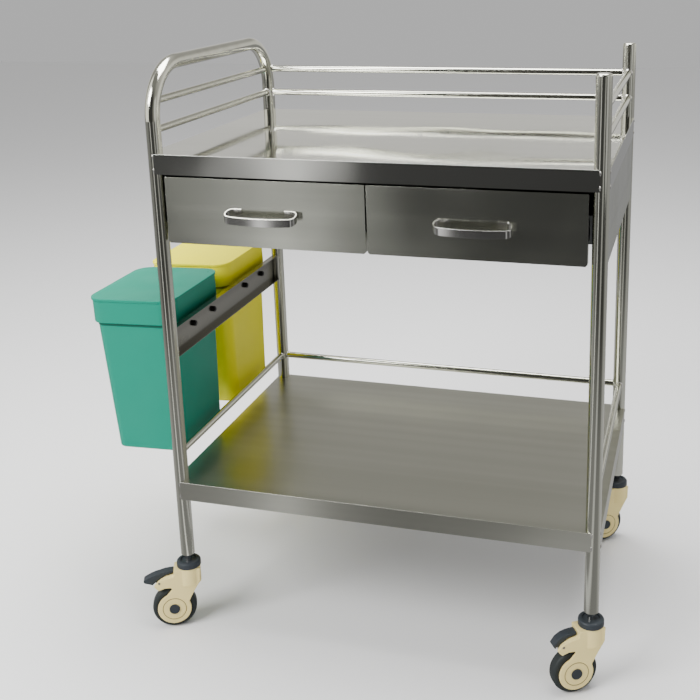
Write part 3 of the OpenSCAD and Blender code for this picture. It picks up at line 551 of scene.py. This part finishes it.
def merged_copy(node):
    """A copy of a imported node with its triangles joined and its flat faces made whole."""
    same_point, same_plane = 2e-6, radians(0.5)
    obj = bpy.data.objects.new(node + "_copy", frame["nodes"][node].data.copy())
    bpy.context.scene.collection.objects.link(obj)
    alone(obj)
    bpy.ops.object.mode_set(mode="EDIT")
    bpy.ops.mesh.select_all(action="SELECT")
    bpy.ops.mesh.customdata_custom_splitnormals_clear()
    bpy.ops.mesh.remove_doubles(threshold=same_point)
    bpy.ops.mesh.dissolve_limited(angle_limit=same_plane)
    bpy.ops.object.mode_set(mode="OBJECT")
    return obj


def bevel_edges(obj, test, width, segments=3):
    """Rounds the edges that pass a test, and says how many there were."""
    alone(obj)
    bpy.ops.object.mode_set(mode="EDIT")
    count = choose(obj, "EDGE", test)
    if count:
        bpy.ops.mesh.bevel(offset=width, segments=segments, affect="EDGES", clamp_overlap=True)
    bpy.ops.object.mode_set(mode="OBJECT")
    return count


def round_corners(obj, width, segments, sharper_than=60):
    """Rounds every edge that turns by more than an angle."""
    modify(obj, "BEVEL", width=width, segments=segments, limit_method="ANGLE",
           angle_limit=radians(sharper_than))


print("shaping helpers ready")


# %% Trays with rounded folds
X, Y, Z = 0, 1, 2
TRAY_FOLD, FRONT_FOLD, BAR_FOLD = 0.0011, 0.0010, 0.0009


def on_plane(edge, axis, value):
    """Whether both ends of an edge lie at a place along an axis."""
    return all(near(point.co[axis], value) for point in edge.verts)


def on_outline(edge, low, high):
    """Whether an edge lies along one of the four outer sides of a box."""
    return any(on_plane(edge, axis, side[axis]) for axis in (X, Y) for side in (low, high))


for tray in ("top_tray", "lower_shelf"):
    low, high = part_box(tray)
    pan = merged_copy(tray)
    folds = bevel_edges(
        pan, lambda edge: on_plane(edge, Z, high.z) and on_outline(edge, low, high), TRAY_FOLD)
    finished(pan, tray + "_pan", body_of[tray], slot_of[tray], finish_of(tray), tray)
    print(tray, "folds rounded:", folds)

# %% Drawer fronts and the bin bar
for side in ("left", "right"):
    node = side + "_drawer_front"
    low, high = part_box(node)
    front = merged_copy(node)
    folds = bevel_edges(front, lambda edge: on_plane(edge, Y, low.y), FRONT_FOLD)
    finished(front, node + "_panel", body_of[node], slot_of[node], finish_of(node), node)
    print(node, "edges rounded:", folds)

low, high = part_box("bin_bar")
bar = merged_copy("bin_bar")
folds = bevel_edges(bar, lambda edge: on_plane(edge, X, low.x) and any(
    on_plane(edge, Z, z) for z in (low.z, high.z)), BAR_FOLD)
finished(bar, "bin_bar_channel", "root", slot_of["bin_bar"], finish_of("bin_bar"), "bin_bar")
print("bin bar edges rounded:", folds)

# %% [markdown]
# A drawer pull is a strip of steel, bent into a flat bow with round ends. It droops from its
# screws towards the hand, and it is a little taller where the fingers take it, so each point of
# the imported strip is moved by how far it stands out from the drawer. Then its sharp edges are
# rolled by a bevel of half a millimetre or so. The bevel leaves the smooth bends alone.

# %% Drawer pulls
DROOP = 0.4                     # down, for each metre out from the drawer
FLARE, TALLEST = 6, 1.15        # growth of the strip for each metre out, and its most
PULL_EDGE = 0.0006
for side in ("left", "right"):
    node = side + "_drawer_pull"
    low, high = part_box(node)
    face_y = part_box(side + "_drawer_front")[0].y
    middle_z = (low.z + high.z) / 2
    pull = merged_copy(node)
    for point in pull.data.vertices:
        out = max(face_y - point.co.y, 0)
        taller = min(1 + FLARE * out, TALLEST)
        point.co.z = middle_z + (point.co.z - middle_z) * taller - DROOP * out
    round_corners(pull, PULL_EDGE, 3, sharper_than=50)
    finished(pull, node + "_bow", body_of[node], slot_of[node], finish_of(node), node)
    print(node, len(pull.data.polygons), "faces")

# %% [markdown]
# The bins are moulded tubs that narrow towards the floor, with big round corners. Each starts
# as a block at the rim's size. The upright edges are bevelled, the bottom is drawn in, and the
# top face is inset by the wall and pushed down to make the hollow. The bins lean a little, so
# that the wall by the bar stands upright; the finished mesh is turned about the rim by that.

# %% A rounded block, and the lean of the bins
DESIGN = Vector((-0.287005, -0.232596, 0))      # from the left front post to the shared frame
BIN_MIDDLES = {"green": 0.141, "yellow": 0.369}  # along the cart's depth, from that post
LEAN = radians(2.0316)
HINGE_X, HINGE_Z = -0.0225, 0.6147               # the bins lean about this line, at the rim
LID_X, LID_Y, LID_H, LID_R, LID_TOP = 0.174, 0.204, 0.047, 0.030, 0.6175
RIM_X, RIM_Y, RIM_R = 0.162, 0.192, 0.024
BIN_H, TAPER, WALL = 0.296, 0.0105, 0.0025
BIN_X = HINGE_X - RIM_X / 2
BIN_FINISH = {"green": green, "yellow": yellow}
# painted shade: the rim bands take the darker plastics in place of the skirt's shadow
BAND_PAINTED_SHADE = {"green": green_painted_shade_and_mark, "yellow": yellow_painted_shade}


def rounded_block(size, middle, radius, segments=10):
    """A block whose four upright edges are rounded."""
    bpy.ops.object.select_all(action="DESELECT")
    bpy.ops.mesh.primitive_cube_add(size=1, location=middle, scale=size)
    obj = bpy.context.active_object
    bpy.ops.object.transform_apply(location=True, rotation=True, scale=True)
    bevel_edges(obj, lambda edge: near(edge.verts[0].co.x, edge.verts[1].co.x)
                and near(edge.verts[0].co.y, edge.verts[1].co.y), radius, segments)
    return obj


def push_face(obj, test, inset, move, shrink=None):
    """Insets the faces that pass a test, then extrudes them, then draws the new end in."""
    alone(obj)
    bpy.ops.object.mode_set(mode="EDIT")
    choose(obj, "FACE", test)
    if inset:
        bpy.ops.mesh.inset(thickness=inset)
    if move:
        bpy.ops.mesh.extrude_region_move(TRANSFORM_OT_translate={"value": (0, 0, move)})
    if shrink:
        mesh = bmesh.from_edit_mesh(obj.data)
        picked = [v.co for v in mesh.verts if v.select]
        centre = sum(picked, Vector()) / len(picked)
        bpy.ops.transform.resize(value=(*shrink, 1), center_override=centre)
    bpy.ops.object.mode_set(mode="OBJECT")


def lean_and_place(obj, y):
    """Turns a piece about the rim by the bar, and moves it to its place along the cart."""
    hinge = Vector((HINGE_X, 0, HINGE_Z))
    obj.matrix_world = (Matrix.Translation(DESIGN + Vector((0, y, 0)) + hinge)
                        @ Matrix.Rotation(-LEAN, 4, "Y") @ Matrix.Translation(-hinge))


def facing(z, side):
    """A test for the level faces at a height that look up, for side 1, or down, for side -1."""
    return lambda face: near(face.calc_center_median().z, z, 2e-4) and face.normal.z * side > 0.9


print("bins lean by", round(LEAN, 4), "rad")

# %% Bins
HOLLOW_AREA, TUB_EDGE = 0.01, 0.0030    # the hollow's face is the only one above this area
for colour, y in BIN_MIDDLES.items():
    low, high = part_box(colour + "_bin")
    rim_z, floor_z = HINGE_Z, HINGE_Z - BIN_H
    tub = rounded_block((RIM_X, RIM_Y, BIN_H), (BIN_X, 0, rim_z - BIN_H / 2), RIM_R)
    draw_in = (1 - 2 * TAPER / RIM_X, 1 - 2 * TAPER / RIM_Y)
    push_face(tub, facing(floor_z, -1), 0, 0, draw_in)
    push_face(tub, facing(rim_z, 1), WALL, 0)
    alone(tub)
    bpy.ops.object.mode_set(mode="EDIT")
    choose(tub, "FACE", lambda face: facing(rim_z, 1)(face) and face.calc_area() > HOLLOW_AREA)
    bpy.ops.mesh.extrude_region_move(TRANSFORM_OT_translate={"value": (0, 0, WALL - BIN_H)})
    bpy.ops.transform.resize(value=(*draw_in, 1), center_override=(BIN_X, 0, floor_z + WALL))
    bpy.ops.object.mode_set(mode="OBJECT")
    round_corners(tub, TUB_EDGE, 4)
    lean_and_place(tub, y)
    finished(tub, colour + "_bin_tub", "root", colour + "_plastic", BIN_FINISH[colour], colour + "_bin")
    print(colour, "tub:", len(tub.data.polygons), "faces;", [round(v, 4) for v in tub.dimensions],
          "against", [round(v, 4) for v in high - low])

# %% [markdown]
# A lid is a shallow cap. Its top is a plate that stands 2 mm proud of the skirt all round, and
# the skirt drops over the bin's rim. The block is made as deep as the plate; its underside is
# inset and pushed down for the skirt, and inset again and pushed up for the hollow.

# %% Lids
PLATE, PROUD, LID_EDGE = 0.005, 0.002, 0.0011
for colour, y in BIN_MIDDLES.items():
    low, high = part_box(colour + "_lid")
    cap = rounded_block((LID_X, LID_Y, PLATE), (BIN_X, 0, LID_TOP - PLATE / 2), LID_R, 14)
    push_face(cap, facing(LID_TOP - PLATE, -1), PROUD, PLATE - LID_H)
    alone(cap)
    bpy.ops.object.mode_set(mode="EDIT")
    choose(cap, "FACE", facing(LID_TOP - LID_H, -1))
    bpy.ops.mesh.inset(thickness=WALL)
    bpy.ops.mesh.extrude_region_move(TRANSFORM_OT_translate={"value": (0, 0, LID_H - WALL)})
    bpy.ops.object.mode_set(mode="OBJECT")
    round_corners(cap, LID_EDGE, 4)
    lean_and_place(cap, y)
    lid = colour + "_lid"
    finished(cap, lid + "_cap", lid, colour + "_plastic", BIN_FINISH[colour], lid)
    print(colour, "cap:", len(cap.data.polygons), "faces;", [round(v, 4) for v in cap.dimensions],
          "against", [round(v, 4) for v in high - low])

# %% [markdown]
# Castor forks and brake pedals are thick nylon mouldings with no sharp edge anywhere. Copying
# the imported shape, remeshing it into small even faces and relaxing them rounds every edge at
# once, as the mould does. The thin groove round the wheel cover would be lost, so its shade is
# painted on again as a thin dark ring of its own.

# %% Forks and pedals
CASTORS = ("left_front", "right_front", "left_rear", "right_rear")
BRAKED = CASTORS[:2]
FORK_GRID, FORK_ROUNDS = 0.0009, 9
PEDAL_GRID, PEDAL_ROUNDS = 0.0007, 8


def moulded(node, grid, rounds, finish):
    """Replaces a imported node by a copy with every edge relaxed."""
    piece = merged_copy(node)
    modify(piece, "REMESH", mode="VOXEL", voxel_size=grid, use_smooth_shade=True)
    modify(piece, "SMOOTH", factor=0.5, iterations=rounds)
    finished(piece, node + "_moulding", body_of[node], slot_of[node], finish, node, smooth=80)
    print(node, len(piece.data.polygons), "faces")


for castor in CASTORS:
    moulded(castor + "_fork", FORK_GRID, FORK_ROUNDS, cream)
for castor in BRAKED:
    moulded(castor + "_pedal", PEDAL_GRID, PEDAL_ROUNDS, dark)

# %% Painted groove shade round the wheel covers
RING_SIDES = 8


def ring(middle, axis, radius, thickness, segments=64):
    """A thin ring round an axis."""
    turn_to = Vector(axis).to_track_quat("Z", "Y").to_euler()
    bpy.ops.object.select_all(action="DESELECT")
    bpy.ops.mesh.primitive_torus_add(
        location=middle, rotation=turn_to, major_segments=segments, minor_segments=RING_SIDES,
        major_radius=radius, minor_radius=thickness)
    return bpy.context.active_object


def joined(pieces):
    """Makes several pieces one mesh."""
    bpy.ops.object.select_all(action="DESELECT")
    for piece in pieces:
        piece.select_set(True)
    bpy.context.view_layer.objects.active = pieces[0]
    bpy.ops.object.join()
    return pieces[0]


CHEEK_OUT, GROOVE_R, GROOVE_T = 0.0159, 0.0212, 0.00055
joint_of = {joint["name"]: joint for joint in frame["joints"]}
for castor in CASTORS:
    roll = joint_of[castor + "_roll"]
    hub, along = Vector(roll["pos_m"]), Vector(roll["axis"])
    pair = [ring(hub + along * CHEEK_OUT * side, along, GROOVE_R, GROOVE_T) for side in (-1, 1)]
    finished(joined(pair), castor + "_cover_groove_painted_shade", castor + "_castor", "cream_plastic", groove_shade)
print("grooves laid on", len(CASTORS), "castors")

# %% [markdown]
# Under each lid's skirt a bin has a shallow rim band, painted darker as the skirt's shadow. A small
# round mark near one corner of the green lid is where the plastic entered the mould.

# %% Rim bands and the gate mark
BAND_H, BAND_PROUD, BAND_EDGE = 0.0065, 0.0004, 0.0003
for colour, y in BIN_MIDDLES.items():
    top = LID_TOP - LID_H
    narrow = TAPER * (HINGE_Z - top) / BIN_H - BAND_PROUD
    size = (RIM_X - 2 * narrow, RIM_Y - 2 * narrow, BAND_H)
    band = rounded_block(size, (BIN_X, 0, top - BAND_H / 2), RIM_R)
    round_corners(band, BAND_EDGE, 2)
    lean_and_place(band, y)
    finished(band, colour + "_bin_rim_band", "root", colour + "_plastic", BAND_PAINTED_SHADE[colour])
MARK_R, MARK_T, MARK_EDGE, MARK_IN = 0.0016, 0.0004, 0.0001, 0.016
mark_at = (BIN_X + LID_X / 2 - MARK_IN, LID_Y / 2 - MARK_IN * 1.4, LID_TOP)
bpy.ops.object.select_all(action="DESELECT")
bpy.ops.mesh.primitive_cylinder_add(vertices=20, radius=MARK_R, depth=MARK_T, location=mark_at)
mark = bpy.context.active_object
bpy.ops.object.transform_apply(location=True, rotation=True, scale=True)
round_corners(mark, MARK_EDGE, 2)
lean_and_place(mark, BIN_MIDDLES["green"])
finished(mark, "green_lid_gate_mark", "green_lid", "green_plastic", green_painted_shade_and_mark)
print("bands and mark placed")

# %% [markdown]
# Every rail is welded to its posts, and the bead is plain to see: a low rippled ring that
# follows the round of the post. A ring is made round the rail's end, and each of its points is
# moved back by as much as the post's surface falls away there. The trays are tacked to the
# posts at the ends of their skirts with short upright beads.

# %% Rail welds
from math import cos, sin, sqrt

POST_R, RAIL_R, SPAN_X, SPAN_Y = 0.0125, 0.00635, 0.739, 0.486
RAIL_HEIGHTS = (0.3465, 0.9325, 0.9805)
# each joint: the post's place, and the direction in which the rail leaves it
RAIL_ENDS = [
    ((0, 0), (0, 1)), ((0, SPAN_Y), (0, -1)), ((0, SPAN_Y), (1, 0)),
    ((SPAN_X, SPAN_Y), (-1, 0)), ((SPAN_X, 0), (0, 1)), ((SPAN_X, SPAN_Y), (0, -1))]
BEAD_PROUD, BEAD_R = 0.0003, 0.0013
RIPPLE, SWELL = 0.10, 0.02       # how uneven a bead is along the rail, and round it


def rail_bead(post, heading, height, number):
    """A bead round a rail's end that follows the post, with ripples of its own for each number."""
    away = Vector((*heading, 0))
    middle = DESIGN + Vector((*post, height))
    bead = ring((0, 0, 0), away, RAIL_R + BEAD_PROUD, BEAD_R, 32)
    alone(bead)
    bpy.ops.object.transform_apply(location=True, rotation=True, scale=True)
    sideways = away.cross(Vector((0, 0, 1)))
    for index, point in enumerate(bead.data.vertices):
        step = index / RING_SIDES
        across_post = point.co.dot(sideways)
        surface = sqrt(max(POST_R ** 2 - across_post ** 2, 0))
        along_rail = point.co.dot(away)
        round_rail = point.co - away * along_rail
        ripple = 1 + RIPPLE * sin(step * 2.4 + number)
        swell = 1 + SWELL * sin(step * 1.7 + number)
        point.co = middle + away * (surface + along_rail * ripple) + round_rail * swell
    return bead


beads = [rail_bead(post, heading, z, number + 7 * row)
         for row, z in enumerate(RAIL_HEIGHTS) for number, (post, heading) in enumerate(RAIL_ENDS)]
print(len(beads), "rail beads")
finished(joined(beads), "rail_welds", "root", "bright_steel", bright)

# %% Tray welds
TRAY_TOPS, SKIRT_H = (0.8945, 0.2935), 0.034
TACK_R, TACK_STRETCH, TACK_UNEVEN = 0.0016, 2.6, 0.00012
TACK_SIDE, TACK_SUNK = 0.0012, 0.97      # past the post's middle line, and how deep it is set
BELOW_TOP, ABOVE_HEM = 0.005, 0.006


def tack_bead(place, number):
    """A short upright bead of weld, a little uneven."""
    bpy.ops.object.select_all(action="DESELECT")
    bpy.ops.mesh.primitive_uv_sphere_add(
        segments=12, ring_count=8, radius=TACK_R, scale=(1, 1, TACK_STRETCH), location=place)
    tack = bpy.context.active_object
    bpy.ops.object.transform_apply(location=True, rotation=True, scale=True)
    for index, point in enumerate(tack.data.vertices):
        point.co.x += TACK_UNEVEN * cos(index * 1.9 + number)
        point.co.y += TACK_UNEVEN * sin(index * 2.3 + number)
    return tack


def tack_places():
    """Two beads, one above the other, on the two sides of each post that the skirts meet."""
    for top in TRAY_TOPS:
        for x, side_x in ((0, 1), (SPAN_X, -1)):
            for y, side_y in ((0, 1), (SPAN_Y, -1)):
                for along, across in ((TACK_SIDE * side_x, -POST_R * side_y),
                                      (-POST_R * side_x, TACK_SIDE * side_y)):
                    for z in (top - BELOW_TOP, top - SKIRT_H + ABOVE_HEM):
                        yield DESIGN + Vector((x + along * TACK_SUNK, y + across * TACK_SUNK, z))


tacks = [tack_bead(place, number) for number, place in enumerate(tack_places())]
print(len(tacks), "tray tacks")
finished(joined(tacks), "tray_welds", "root", "bright_steel", bright)
